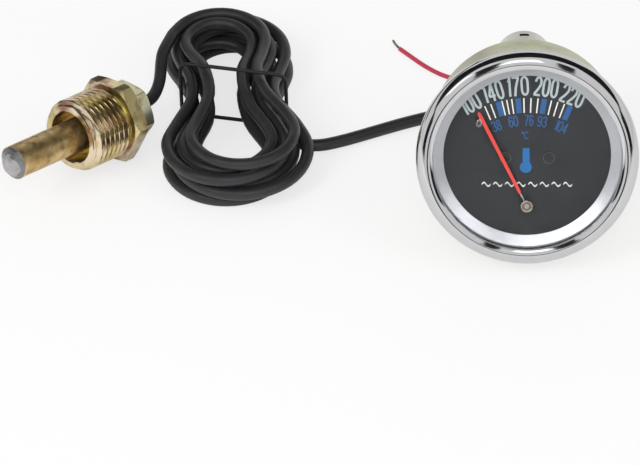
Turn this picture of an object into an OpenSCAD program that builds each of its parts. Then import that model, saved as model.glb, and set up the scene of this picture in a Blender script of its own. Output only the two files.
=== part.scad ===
// Water temperature gauge: a 52 mm panel instrument, its capillary cord and its sensing probe.
// The gauge leans back on the rear edge of its case, on a flat surface, and its stiff capillary,
// which comes down to that surface behind the gland, props it.
// Gauge pieces are drawn in the dial frame: x right, y up, z towards the reader, z = 0 at the
// bezel's rear face. Probe pieces are drawn along z from the bulb towards the cord, z = 0 at the
// front face of the adapter's hexagon.

/* [Bezel] */
// Width of the bezel beyond the barrel
bezel_rim = 4.1; // [3.9:0.1:5]
// Height of the bezel in front of the panel
bezel_h = 6; // [5.8:0.1:7]
// Radius of the rolled bead at the front
bead_r = 3; // [2.6:0.1:3.2]
// Radius of the bezel's rear edge
edge_r = 2; // [1.6:0.1:2.2]
// Step from the barrel's radius in to the bezel's window
window_step = 0.3; // [0.2:0.05:0.5]
// Thickness of the rear lip that is crimped behind the case
crimp_t = 1.5; // [1.2:0.1:1.8]

/* [Case] */
// Radius of the barrel that goes through the panel hole
barrel_r = 25.9; // [25.7:0.1:26]
// Depth of the case behind the panel
case_depth = 23.2; // [22:0.2:27]
// Wall of the drawn steel case
case_wall = 0.6; // [0.5:0.05:0.8]
// Radius of the case's rear edge
case_edge_r = 1.5; // [1:0.1:2.5]
// Step of the shoulder inside the crimp
shoulder_step = 0.3; // [0.2:0.05:0.4]
// Width of the front flange beyond the barrel
flange_w = 1; // [0.8:0.05:1.1]
// Thickness of the front flange
flange_t = 0.65; // [0.5:0.05:0.8]

/* [Lens and dial] */
// Thickness of the lens
lens_t = 1.5; // [1:0.1:1.6]
// Thickness of the lens seal
seal_t = 0.3; // [0.2:0.05:0.5]
// Thickness of the reflector ring's flange
ring_t = 0.3; // [0.2:0.05:0.4]
// Width of the reflector ring inside the bezel's window
ring_w = 3; // [2.2:0.1:3.2]
// Height of the dial's face above the bezel's rear face
dial_z = 0.8; // [0.6:0.1:1]
// Thickness of the dial plate
dial_t = 0.5; // [0.4:0.1:0.8]
// Radius of the dial screws' heads
screw_head_r = 1.64; // [1.3:0.02:2]
// Height of the dial screws' heads
screw_head_h = 0.55; // [0.4:0.05:0.7]
// Distance of each dial screw from the centre line
screw_x = 5.85; // [5:0.05:6.2]

/* [Pointer] */
// Drop of the pointer's pivot below the dial's centre
pivot_drop = 14; // [13.8:0.1:14.2]
// Length of the pointer from its pivot
pointer_len = 29.6; // [25:0.2:30]
// Width of the blade at its root
blade_w = 0.9; // [0.7:0.1:1.8]
// Width of the blade at its tip
blade_tip_w = 1; // [0.5:0.1:1.2]
// Thickness of the blade
blade_t = 0.25; // [0.2:0.05:0.4]
// Radius of the pointer's hub
hub_r = 1.63; // [1.4:0.01:1.8]
// Angle of the pointer at rest, left of upright
pointer_rest = 26.5; // [20:0.5:27]
// Radius of the stop pin
stop_pin_r = 0.45; // [0.3:0.05:0.5]
// Distance of the stop pin from the pivot
stop_pin_reach = 26.4; // [24:0.1:27]

/* [Movement] */
// Mean radius of the pressure tube's curve
tube_curve_r = 19; // [18.8:0.1:19.6]
// Thickness of the flattened pressure tube
tube_t = 1.4; // [1:0.1:1.5]
// Width of the flattened pressure tube
tube_w = 4.4; // [3.6:0.1:4.6]
// Angle that the pressure tube sweeps
tube_sweep = 290; // [275:1:292]
// Length of the spindle's crank
crank_len = 3; // [2.6:0.1:3.2]
// Radius of the spindle
spindle_r = 0.6; // [0.5:0.02:0.7]
// Half width of the movement's two plates
plate_half_w = 7.5; // [7.2:0.1:7.6]
// Thickness of the movement's plates
plate_t = 1; // [0.8:0.1:1.2]
// Radius of the pillars between the plates
pillar_r = 1.5; // [1.2:0.1:1.6]

/* [Lamp] */
// Height of the lamp above the dial's centre
lamp_y = 14.5; // [14:0.1:15]
// Radius of the lamp holder's shell
lamp_r = 8; // [7.5:0.1:8.4]
// Length of the lamp holder behind the case
lamp_len = 19; // [17:0.5:21]
// Wall of the lamp holder's shell
lamp_wall = 0.7; // [0.5:0.1:0.9]
// Radius of the lamp's glass
glass_r = 4.4; // [4:0.1:4.8]

/* [Rear fittings] */
// Drop of the capillary gland below the dial's centre
gland_drop = 11; // [10.6:0.1:11.2]
// Radius of the capillary gland
gland_r = 4.5; // [4.2:0.1:4.8]
// Reach of the capillary gland behind the bezel's rear face
gland_end = 37.4; // [36:0.2:39]
// Width across flats of the gland nut
gland_nut_af = 11; // [10:0.5:12]
// Distance of each mounting stud from the centre line
stud_x = 15; // [14.6:0.2:16]
// Drop of the mounting studs below the dial's centre
stud_drop = 2; // [0:0.5:3]
// Radius of the mounting studs
stud_r = 1.95; // [1.9:0.05:2]
// Length of the mounting studs behind the case
stud_len = 13; // [10:0.5:15]
// Width across flats of the stud nuts
stud_nut_af = 7; // [7:0.5:8]
// Thickness of the stud nuts
stud_nut_t = 3.2; // [2.4:0.2:4]

/* [Probe] */
// Radius of the sensing bulb
bulb_r = 4.75; // [4.4:0.05:5]
// Distance from the adapter's hexagon to the end of the bulb's straight wall
bulb_reach = 36.4; // [28:0.2:40]
// Height of the rounded solder at the bulb's end
tip_h = 2.55; // [1.5:0.05:4]
// Radius of the adapter's thread, G 1/2
thread_r = 10.48; // [10.2:0.02:10.7]
// Depth of the adapter's thread
thread_depth = 1.16; // [0.8:0.02:1.3]
// Pitch of the adapter's thread
thread_pitch = 1.814; // [1.4:0.001:2]
// Turns of the adapter's thread
thread_turns = 8; // [6:1:9]
// Radius of the adapter's front bore
bore_r = 7.45; // [7:0.05:7.8]
// Width across flats of the adapter's hexagon
hex_af = 22; // [21.5:0.5:24]
// Thickness of the adapter's hexagon
hex_t = 4.5; // [4:0.5:6]
// Turn of the adapter's hexagon about the probe's axis
hex_spin = 21; // [0:1:59]
// Width across flats of the compression nut
nut_af = 16; // [15:0.5:17]
// Thickness of the compression nut's hexagon
nut_t = 5.5; // [4:0.5:7]
// Turn of the compression nut about the probe's axis
nut_spin = 29; // [0:1:59]

/* [Resting place of the probe] */
// Place of the adapter's hexagon, to the left of the gauge
probe_x = -117.5; // [-125:0.5:-112]
// Place of the adapter's hexagon, behind the bezel
probe_y = 39.4; // [34:0.1:44]
// Heading of the probe's axis, from the bulb to the cord
probe_yaw = 49; // [45:1:53]
// Fall of the probe's axis, from the bulb to the cord
probe_pitch = 10.4; // [8:0.2:12]

/* [Cord and wire] */
// Diameter of the sheathed capillary
cord_d = 3.5; // [3.2:0.1:3.6]
// Spacing of the hank's turns
hank_step = 4.45; // [4.4:0.05:4.6]
// Turns of cord in the hank
hank_turns = 7.35; // [5.35:1:7.35]
// Length of the hank from the tie to its far fold
far_len = 37; // [35:1:42]
// Length of the hank from the tie to its near fold
near_len = 43; // [40:1:46]
// Shift of each layer of the hank towards the far fold
layer_shift = -0.8; // [-1.2:0.2:1.2]
// Radius of the hank's far fold, behind the tie
far_fold_r = 17; // [16.5:0.5:19]
// Radius of the hank's near fold, in front of the tie
near_fold_r = 20; // [19:0.5:22.5]
// Half width of the hank at its waist
hank_waist = 12.5; // [12:0.1:13.5]
// Diameter of the tie round the hank
tie_d = 1.1; // [0.8:0.1:1.4]
// Diameter of the lamp wire's insulation
wire_d = 1.35; // [1.2:0.05:1.6]
// Diameter of the lamp wire's bare strands
strand_d = 0.8; // [0.6:0.05:1]

/* [Hidden] */
$fn = 96;

// Clearances: slip between fixed pieces, run between pieces that turn, soft between soft and hard
slip_gap = 0.05;
run_gap = 0.08;
soft_gap = 0.3;
// Overlap of a cutting shape past the face that it cuts
past = 1;

// Front stack, from the crimped lip to the lens
bezel_r = barrel_r + bezel_rim;
view_r = barrel_r - window_step;
ring_in_r = view_r - ring_w;
shoulder_r = barrel_r + shoulder_step;
crimp_in_r = shoulder_r + slip_gap;
flange_r = barrel_r + flange_w;
channel_r = flange_r + 2 * slip_gap;
flange_z = crimp_t + slip_gap;
flange_top = flange_z + flange_t;
ring_top = flange_top + ring_t;
lens_z = ring_top + seal_t;
lip_z = lens_z + lens_t;
case_in_r = barrel_r - case_wall;
case_floor = case_wall - case_depth;

// The gauge's lean, and the flat surface under the rounded rear edge of its case
gland_edge_r = 0.6;
rim_c = [bezel_r - edge_r, edge_r];
case_c = [barrel_r - case_edge_r, case_edge_r - case_depth];
lean = 20.6;
floor_z = case_c[1] * sin(lean) - case_c[0] * cos(lean) - case_edge_r;

// Movement: heights of its plates, spindle and crank
base_t = 3;
base_top = case_floor + base_t;
base_half_w = 10;
base_top_y = -5;
rear_plate_z = base_top + 4.1;
front_plate_z = dial_z - dial_t - 5.5;
plate_low = -pivot_drop - 1.7;
rear_plate_high = -6;
front_plate_high = 2;
pillar_x = plate_half_w - pillar_r;
pillar_y = -10;
screw_y = -0.5;
screw_shank_r = 0.8;
screw_len = 3;
screw_room = 0.5;
post_r = 1.8;
link_z = -10.6;
link_t = 0.5;
link_w = 1.6;
crank_z = link_z + link_t + 0.2;
crank_t = 0.8;
crank_pin_r = 0.5;
link_eye_r = 1.3;
tube_z = link_z - 0.9 - tube_w;
tube_root = -75;
tube_end_len = 3.5;
socket_len = 4;
tip_lug = 1.8;

// The pointer's parts, stacked on the spindle
pivot = [0, -pivot_drop];
hub_z = dial_z + 0.4;
blade_z = hub_z + 0.5;
hub_top = blade_z + blade_t + 0.55;
wire_w = 0.45;
blade_root = 3.9;
crank_pin = pivot + crank_len * [sin(pointer_rest), -cos(pointer_rest)];
tube_tip_angle = tube_root + tube_sweep;
tip_pivot = tube_curve_r * [cos(tube_tip_angle), sin(tube_tip_angle)]
    + tip_lug * [-sin(tube_tip_angle), cos(tube_tip_angle)];
stop_pin_angle = pointer_rest + 3.1;

// Rear fittings
washer_t = 0.8;
gland_nut_t = 4;
stem_r = 2.4;
stud_head_t = 0.8;
lamp_neck_r = 6.9;
lamp_neck = 2.4;
lamp_flange_r = lamp_r + 0.6;
lamp_end = -case_depth - lamp_len;
insulator_t = 2;
contact_len = 0.6;
cap_r = 4.6;
glass_tip = case_floor + 5.6;
slot_w = 2.6;
slot_l = 2;

// Probe: seat of the bulb's collar in the adapter, and the nut behind it
hex_r = hex_af / 2 / cos(30);
nut_r = nut_af / 2 / cos(30);
seat_z = -1;
seat_wall = 2;
collar_t = 2;
collar_r = 6.8;
nut_thread_r = 7.85;
nut_z = hex_t + 0.5;
nut_end = nut_z + nut_t;
neck_r = 2.4;
chamfer = 1;
low_corner = min(hex_spin % 60, 60 - hex_spin % 60);
probe_z = floor_z + hex_t * sin(probe_pitch) + hex_r * cos(low_corner) * cos(probe_pitch);
probe_dir = [cos(probe_pitch) * cos(probe_yaw), cos(probe_pitch) * sin(probe_yaw), -sin(probe_pitch)];

// The hank: place, layers and the length of its parts
hank_pos = [-83.5, 55.7];
hank_tilt = 6;
tie_turn = -11;
tie_normal = [-sin(tie_turn), cos(tie_turn)];
hank_start = -0.025;
hank_fan = 4;
cord_r = cord_d / 2;
layer_h = 4.2;
layers = 4;
layer_turns = 2;
tie_lift = tie_d + 0.55;
tie_reach = 10;
rings_per_loop = 24;

// A point of the dial frame, or of the probe's axis, in the model's own frame
function from_dial(p) = [p[0], p[1] * sin(lean) - p[2] * cos(lean), p[1] * cos(lean) + p[2] * sin(lean)];
function on_probe(t) = [probe_x, probe_y, probe_z] + t * probe_dir;
function unit(v) = v / norm(v);

// The outer loop of the hank at f turns from the middle of its right side, drawn in at the waist
function side_x(y, r, run) = r - (r - hank_waist) * (1 + cos(180 * y / run)) / 2;
function half_loop(h, r, run) = let(d = h * (2 * run + PI * r), a = (d - run) / r * 180 / PI)
    a < 0 ? [side_x(d, r, run), d]
    : a < 180 ? [0, run] + r * [cos(a), sin(a)]
    : [-side_x(2 * run + PI * r - d, r, run), 2 * run + PI * r - d];
function outer_loop(u) = let(f = u - floor(u))
    f < 0.5 ? half_loop(2 * f, far_fold_r, far_len - far_fold_r)
    : -half_loop(2 * f - 1, near_fold_r, near_len - near_fold_r);
// Inward shift and height at u turns: in and out at a steady rate, a layer up at each reversal
function inward(u) = hank_step * (u < 1 ? u : abs(u - 2 * layer_turns * round(u / (2 * layer_turns))));
function climbs(u) = [for (k = [1 : layers - 1]) min(1, max(0, 2 * (u - k * layer_turns) + 0.5))];
function total(v, i = 0) = i < len(v) ? v[i] + total(v, i + 1) : 0;
function hank_point(u) = let(
        p = outer_loop(u), t = unit(outer_loop(u + 0.002) - p), layer = total(climbs(u)),
        turn = hank_tilt - hank_fan * cos(180 * layer),
        q = p + inward(u) * [-t[1], t[0]] + [0, layer_shift * (layer - (layers - 1) / 2)],
        xy = [q[0] * cos(turn) - q[1] * sin(turn), q[0] * sin(turn) + q[1] * cos(turn)],
        z = floor_z + cord_r + layer_h * layer + tie_lift * exp(-pow(xy * tie_normal / tie_reach, 2)))
    [hank_pos[0] + xy[0], hank_pos[1] + xy[1], z];
hank_rings = round((hank_turns - hank_start) * rings_per_loop);
hank_coil = [for (i = [0 : hank_rings])
    hank_point(hank_start + (hank_turns - hank_start) * i / hank_rings)];
function heading(u) = unit(hank_point(u + 0.001) - hank_point(u - 0.001));
hank_in = hank_coil[0] - cord_d * heading(hank_start);
hank_out = hank_coil[hank_rings] + cord_d * heading(hank_turns);
hank_path = concat([hank_in], hank_coil, [hank_out]);
hank_meet = hank_in - cord_d / 2 * heading(hank_start);

// The least gap between stretches of the hank that are more than a third of a turn apart
function gap_to(p, a, b) = norm(p - a - (b - a) * min(1, max(0, (p - a) * (b - a) / ((b - a) * (b - a)))));
hank_gap = min([for (i = [0 : 2 : len(hank_path) - 1], j = [i + 8 : len(hank_path) - 2])
    gap_to(hank_path[i], hank_path[j], hank_path[j + 1])]) - cord_d;
echo(hank_gap = hank_gap);

// The cord's free stretches: straight out of each fitting, then over the surface
floor_cord = floor_z + cord_r;
gland_mouth = from_dial([0, -gland_drop, -gland_end]);
gland_dir = from_dial([0, 0, -1]);
lead_points = [[-0.2, 41, floor_cord + 3.1], [-1.3, 47, floor_cord + 1.1], [-3.6, 51.8, floor_cord + 0.2],
    [-7, 55.6, floor_cord], [-12.1, 57.7, floor_cord], [-19.1, 57.2, floor_cord], [-26.2, 55, floor_cord],
    [-33.3, 52.2, floor_cord], [-40.3, 49, floor_cord], [-46.4, 46.1, floor_cord], [-51.4, 43.9, floor_cord],
    [-56, 42.3, floor_cord], [-59.5, 41.8, floor_cord + 0.1], [-62.1, 42.1, floor_cord + 0.3],
    [-64.3, 43.1, floor_cord + 0.6], [-66.1, 44.6, floor_cord + 1]];
lead_path = concat([gland_mouth, gland_mouth + cord_d * gland_dir], lead_points,
    [hank_meet, hank_in]);
tail_points = [[-103, 69.7, floor_z + 14.1], [-103.4, 66.3, floor_z + 13.3],
    [-103.5, 63.1, floor_z + 12.1], [-103.7, 60.1, floor_z + 11], [-104.4, 57, floor_z + 10],
    [-105.7, 53.7, floor_z + 9.6]];
tail_path = concat([hank_out, hank_out + cord_d / 2 * heading(hank_turns)], tail_points,
    [on_probe(nut_end + cord_d), on_probe(nut_end)]);

// The lamp wire's route from the holder's contact to the surface behind the case
wire_r = wire_d / 2;
floor_wire = floor_z + wire_r;
wire_exit = from_dial([0, lamp_y, lamp_end - contact_len]);
wire_points = [[0, 51.6, -4], [-1, 56.7, -8.6], [-3, 61.8, -14.9], [-6, 66.2, -21.5], [-10, 70.1, -27.4],
    [-15, 72.8, floor_wire + 0.4], [-19, 74.3, floor_wire], [-23.5, 76.8, floor_wire],
    [-28, 80.8, floor_wire], [-32, 85.3, floor_wire], [-35, 88.8, floor_wire]];
wire_path = concat([wire_exit, wire_exit + 2 * wire_d * gland_dir], wire_points);
strand_path = [wire_points[10], [-36.2, 90.8, floor_wire], [-37, 92.8, floor_wire]];

module in_dial_frame() rotate([90 - lean, 0, 0]) children();
module in_probe_frame() translate([probe_x, probe_y, probe_z]) rotate([0, 90 + probe_pitch, probe_yaw]) children();
module at(p, z = 0) translate([p[0], p[1], z]) children();

// A ring of rectangular section: inner and outer radius, then its lower and upper height
module ring(r0, r1, z0, z1) rotate_extrude() translate([r0, z0]) square([r1 - r0, z1 - z0]);
module rod(r, z0, z1) translate([0, 0, z0]) cylinder(r = r, h = z1 - z0);
module hexagon(r, z0, z1, spin = 0) rotate([0, 0, spin]) translate([0, 0, z0]) cylinder(r = r, h = z1 - z0, $fn = 6);
// A hexagon whose corners are turned down to a cone at both ends
module nut_blank(r, z0, z1, spin = 0) intersection() {
    hexagon(r, z0, z1, spin);
    rotate_extrude() polygon([[0, z0], [r * 0.9, z0], [r * 1.02, z0 + 0.07 * r],
                              [r * 1.02, z1 - 0.07 * r], [r * 0.9, z1], [0, z1]]);
}

// A tube swept along points, with flat ends square to its first and last steps
function step_at(p, i) = unit(p[min(i + 1, len(p) - 1)] - p[max(i - 1, 0)]);
function ring_at(p, i, r, sides) = let(
        t = step_at(p, i), a = unit(cross(t, [0, 0, 1])), b = cross(a, t))
    [for (k = [0 : sides - 1]) p[i] + r * (cos(360 * k / sides) * b + sin(360 * k / sides) * a)];
module tube(p, r, sides) {
    rings = [for (i = [0 : len(p) - 1]) each ring_at(p, i, r, sides)];
    last = (len(p) - 1) * sides;
    skin = [for (i = [0 : len(p) - 2], k = [0 : sides - 1])
        let(n = (k + 1) % sides, a = i * sides + k, b = i * sides + n, c = a + sides, d = b + sides)
        each [[a, b, c], [b, d, c]]];
    caps = [for (k = [1 : sides - 2]) each [[0, k + 1, k], [last, last + k, last + k + 1]]];
    polyhedron(rings, concat(skin, caps));
}

module bezel() color("gainsboro") in_dial_frame() rotate_extrude() difference() {
    union() {
        translate([bezel_r - bead_r, bezel_h - bead_r]) circle(bead_r);
        translate(rim_c) circle(edge_r);
        translate([crimp_in_r, 0]) square([rim_c[0] - crimp_in_r, bezel_h - bead_r]);
        translate([bezel_r - bead_r, edge_r]) square([bead_r, bezel_h - bead_r - edge_r]);
    }
    translate([0, -past]) square([crimp_in_r, crimp_t + past]);
    translate([0, crimp_t]) square([channel_r, lip_z - crimp_t]);
    translate([0, lip_z - past]) square([view_r, bezel_h]);
}
module lens() color("azure", 0.3) in_dial_frame() rod(flange_r, lens_z, lip_z);
module lens_seal() color("black") in_dial_frame() ring(view_r + 0.1, flange_r, ring_top, lens_z);
module reflector_ring() color("silver") in_dial_frame() rotate_extrude() polygon([
    [ring_in_r, dial_z], [ring_in_r + 0.45, dial_z], [case_in_r - 0.1, flange_top],
    [flange_r, flange_top], [flange_r, ring_top], [case_in_r, ring_top], [ring_in_r, dial_z + 0.25]]);

// Places of the two mounting studs
stud_places = [[-stud_x, -stud_drop], [stud_x, -stud_drop]];

module case_profile() {
    difference() {
        union() {
            translate([0, -case_depth]) square([barrel_r - case_edge_r, case_edge_r + past]);
            translate([0, case_edge_r - case_depth]) square([barrel_r, case_depth - case_edge_r]);
            intersection() {
                translate(case_c) circle(case_edge_r);
                translate([0, -case_depth]) square([barrel_r, case_depth]);
            }
            square([shoulder_r, flange_z]);
            translate([0, flange_z]) square([flange_r, flange_t]);
        }
        translate([-past, case_floor]) square([case_in_r + past, flange_top - case_floor + past]);
        translate([-past, -case_depth - past]) square([past, case_depth + flange_top + 2 * past]);
    }
}
module case() color("#b9b08a") in_dial_frame() difference() {
    rotate_extrude() case_profile();
    at([0, lamp_y], -case_depth - past) cylinder(r = lamp_neck_r + slip_gap, h = case_wall + 2 * past);
    at([0, -gland_drop], -case_depth - past) cylinder(r = stem_r + slip_gap, h = case_wall + 2 * past);
    for (p = stud_places)
        at(p, -case_depth - past) cylinder(r = stud_r + slip_gap, h = case_wall + 2 * past);
}

module dial() color("#26282b") in_dial_frame() difference() {
    rod(case_in_r - 0.3, dial_z - dial_t, dial_z);
    at(pivot, dial_z - dial_t - past) cylinder(r = 2 * spindle_r, h = dial_t + 2 * past);
    for (x = [-screw_x, screw_x])
        at([x, screw_y], dial_z - dial_t - past) cylinder(r = screw_shank_r + slip_gap, h = dial_t + 2 * past);
}
module dial_screws() color("#3b3b3b") in_dial_frame() for (x = [-screw_x, screw_x]) at([x, screw_y]) difference() {
    union() {
        rod(screw_head_r, dial_z, dial_z + screw_head_h);
        rod(screw_shank_r, dial_z - dial_t - screw_len, dial_z);
    }
    for (turn = [0, 90]) rotate(turn)
        translate([-screw_head_r * 0.65, -0.2, dial_z + screw_head_h - 0.3]) cube([screw_head_r * 1.3, 0.4, past]);
}
module dial_posts() color("#b08d4a") in_dial_frame() for (x = [-screw_x, screw_x]) at([x, screw_y]) difference() {
    rod(post_r, front_plate_z + plate_t, dial_z - dial_t);
    rod(screw_shank_r + slip_gap, dial_z - dial_t - screw_len - screw_room, dial_z);
}
module stop_pin() color("silver") in_dial_frame()
    at(pivot + stop_pin_reach * [-sin(stop_pin_angle), cos(stop_pin_angle)]) {
        rod(2 * stop_pin_r, dial_z, dial_z + 0.15);
        rod(stop_pin_r, dial_z, dial_z + 1.5);
    }

module pointer() color("#c8372b") in_dial_frame() at(pivot) rotate(pointer_rest) difference() {
    union() {
        rod(hub_r - 0.2, blade_z, blade_z + blade_t);
        translate([-wire_w / 2, 0, blade_z]) cube([wire_w, blade_root + 0.3, blade_t]);
        translate([0, 0, blade_z]) linear_extrude(blade_t) polygon([
            [-wire_w / 2, blade_root], [-blade_w / 2, blade_root + 0.5],
            [-blade_tip_w / 2, pointer_len - 0.5], [0, pointer_len], [blade_tip_w / 2, pointer_len - 0.5],
            [blade_w / 2, blade_root + 0.5], [wire_w / 2, blade_root]]);
    }
    rod(spindle_r + slip_gap, blade_z - past, blade_z + past);
}
module pointer_hub() color("#8d7a55") in_dial_frame() at(pivot) {
    ring(spindle_r + slip_gap, hub_r - 0.3, hub_z, blade_z);
    difference() {
        rod(hub_r, blade_z + blade_t, hub_top);
        rod(hub_r - 0.27, hub_top - 0.2, hub_top + past);
        rod(spindle_r + slip_gap, blade_z, hub_top - 0.35);
    }
}
module spindle() color("silver") in_dial_frame() at(pivot) rod(spindle_r, rear_plate_z + 0.2, hub_top - 0.4);
module crank() color("#c9a24f") in_dial_frame() difference() {
    union() {
        at(pivot, crank_z) cylinder(r = 1.4, h = crank_t);
        at(pivot) rotate(pointer_rest) translate([-0.6, -crank_len, crank_z]) cube([1.2, crank_len, crank_t]);
        at(crank_pin, crank_z) cylinder(r = 0.9, h = crank_t);
        at(crank_pin, link_z - 0.1) cylinder(r = crank_pin_r, h = crank_z - link_z + 0.2);
    }
    at(pivot, crank_z - past) cylinder(r = spindle_r + slip_gap, h = crank_t + 2 * past);
}
module link() color("#d8c27a") in_dial_frame() difference() {
    union() {
        for (p = [crank_pin, tip_pivot]) at(p, link_z) cylinder(r = link_eye_r, h = link_t);
        at(tip_pivot, link_z) rotate(atan2(crank_pin[1] - tip_pivot[1], crank_pin[0] - tip_pivot[0]))
            translate([0, -link_w / 2, 0]) cube([norm(crank_pin - tip_pivot), link_w, link_t]);
        at(tip_pivot, link_z - 0.15) cylinder(r = crank_pin_r, h = link_t + 0.5);
    }
    at(crank_pin, link_z - past) cylinder(r = crank_pin_r + run_gap, h = link_t + 2 * past);
}

module movement_base() color("#c2a05a") in_dial_frame() difference() {
    translate([0, 0, case_floor]) linear_extrude(base_t) intersection() {
        circle(case_in_r - 0.6);
        translate([-base_half_w, -barrel_r]) square([2 * base_half_w, barrel_r + base_top_y]);
    }
    at([0, -gland_drop], case_floor - past) cylinder(r = stem_r + slip_gap, h = base_t + 2 * past);
}
module plate(z, high) difference() {
    translate([-plate_half_w, plate_low, z]) cube([2 * plate_half_w, high - plate_low, plate_t]);
    at(pivot, z - past) cylinder(r = spindle_r + run_gap, h = plate_t + 2 * past);
    for (x = [-pillar_x, pillar_x])
        at([x, pillar_y], z - past) cylinder(r = pillar_r - 0.6 + slip_gap, h = plate_t + 2 * past);
}
module rear_plate() color("#c9ab66") in_dial_frame() plate(rear_plate_z, rear_plate_high);
module front_plate() color("#c9ab66") in_dial_frame() plate(front_plate_z, front_plate_high);
module plate_pillars() color("#b08d4a") in_dial_frame() for (x = [-pillar_x, pillar_x]) at([x, pillar_y]) {
    rod(pillar_r, base_top, rear_plate_z);
    rod(pillar_r - 0.6, rear_plate_z - 0.5, front_plate_z + plate_t + 0.6);
    rod(pillar_r, rear_plate_z + plate_t, front_plate_z);
}
module socket_block() color("#c2a05a") in_dial_frame() rotate(tube_root)
    translate([tube_curve_r - 1.6, -socket_len, base_top]) cube([3.2, socket_len, tube_z + tube_w + 0.5 - base_top]);
module pressure_tube() color("#cf9a5b") in_dial_frame() rotate(tube_root) rotate_extrude(angle = tube_sweep) {
    translate([tube_curve_r - tube_t / 2, tube_z + tube_t / 2]) square([tube_t, tube_w - tube_t]);
    for (z = [tube_z + tube_t / 2, tube_z + tube_w - tube_t / 2]) translate([tube_curve_r, z]) circle(tube_t / 2);
}
module tube_end() color("#b98d4f") in_dial_frame() rotate(tube_tip_angle)
    translate([tube_curve_r - 1, 0, tube_z - 0.2]) cube([2, tube_end_len, tube_w + 0.4]);

module lamp_holder() color("#cfcdb8") in_dial_frame() at([0, lamp_y]) difference() {
    union() {
        rod(lamp_r, lamp_end, -case_depth);
        rod(lamp_flange_r, -case_depth - 1, -case_depth);
        rod(lamp_neck_r, -case_depth - past, case_floor + lamp_neck);
    }
    rod(lamp_r - lamp_wall, lamp_end - past, -case_depth - 1.5);
    rod(lamp_neck_r - lamp_wall, -case_depth - 2, case_floor + lamp_neck + past);
    translate([-slot_w / 2, lamp_r - 2 * lamp_wall, lamp_end + 3]) cube([slot_w, 3, slot_l]);
}
module lamp_insulator() color("#4a3f33") in_dial_frame() at([0, lamp_y])
    ring(1.2 + slip_gap, lamp_r - lamp_wall - slip_gap, lamp_end + 0.3, lamp_end + 0.3 + insulator_t);
module lamp_contact() color("#d9d2b0") in_dial_frame() at([0, lamp_y]) {
    rod(1.2, lamp_end - contact_len + 0.3, lamp_end + 0.3 + insulator_t + 0.2);
    rod(2.2, lamp_end - contact_len, lamp_end + 0.3);
}
module lamp_cap() color("#c9b36a") in_dial_frame() at([0, lamp_y])
    rod(cap_r, lamp_end + insulator_t + 0.5, glass_tip - 8);
module lamp_glass() color("#f4f2e2", 0.5) in_dial_frame() at([0, lamp_y]) {
    rod(glass_r, glass_tip - 8, glass_tip - glass_r);
    intersection() {
        translate([0, 0, glass_tip - glass_r]) sphere(glass_r);
        rod(glass_r, glass_tip - glass_r, glass_tip);
    }
}

module gland_washer() color("silver") in_dial_frame() at([0, -gland_drop])
    ring(stem_r + slip_gap, gland_nut_af / 2 + 0.4, -case_depth - washer_t, -case_depth);
module gland_nut() color("#bfae6e") in_dial_frame() at([0, -gland_drop]) difference() {
    nut_blank(gland_nut_af / 2 / cos(30), -case_depth - washer_t - gland_nut_t, -case_depth - washer_t, 30);
    rod(stem_r + slip_gap, -gland_end, 0);
}
module gland_body() color("#b89b57") in_dial_frame() at([0, -gland_drop]) {
    rod(stem_r, -case_depth - washer_t - gland_nut_t - past, base_top - 0.2);
    rotate_extrude() difference() {
        union() {
            translate([0, gland_edge_r - gland_end]) square([gland_r, gland_end - gland_edge_r - case_depth
                                                              - washer_t - gland_nut_t]);
            translate([0, -gland_end]) square([gland_r - gland_edge_r, past]);
            translate([gland_r - gland_edge_r, gland_edge_r - gland_end]) circle(gland_edge_r);
        }
        translate([-past, -gland_end - past]) square([past, gland_end + past]);
    }
}
module mounting_studs() color("silver") in_dial_frame() for (p = stud_places) at(p) {
    rod(stud_r, -case_depth - stud_len, case_floor + stud_head_t / 2);
    rod(stud_r + 1.5, case_floor, case_floor + stud_head_t);
}
module stud_washers() color("silver") in_dial_frame() for (p = stud_places) at(p)
    ring(stud_r + slip_gap, stud_nut_af / 2 + 1, -case_depth - washer_t, -case_depth);
module stud_nut(p) in_dial_frame() at(p) difference() {
    nut_blank(stud_nut_af / 2 / cos(30), -case_depth - washer_t - stud_nut_t, -case_depth - washer_t);
    rod(stud_r + run_gap, -case_depth - stud_len, 0);
}
module stud_nut_left() color("#d6c98a") stud_nut(stud_places[0]);
module stud_nut_right() color("#d6c98a") stud_nut(stud_places[1]);

module sensing_bulb() color("#a98b52") in_probe_frame() {
    rod(bulb_r, -bulb_reach, seat_z + collar_t / 2);
    rod(neck_r, seat_z, nut_end);
}
tip_ball_r = (pow(bulb_r, 2) + pow(tip_h, 2)) / (2 * tip_h);
module bulb_tip() color("#a8a5a0") in_probe_frame() intersection() {
    translate([0, 0, tip_ball_r - bulb_reach - tip_h]) sphere(tip_ball_r);
    rod(bulb_r + past, -bulb_reach - 2 * tip_h, -bulb_reach);
}
module bulb_collar() color("#b58f4c") in_probe_frame()
    ring(bulb_r, collar_r, seat_z + slip_gap, seat_z + collar_t - slip_gap);

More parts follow.
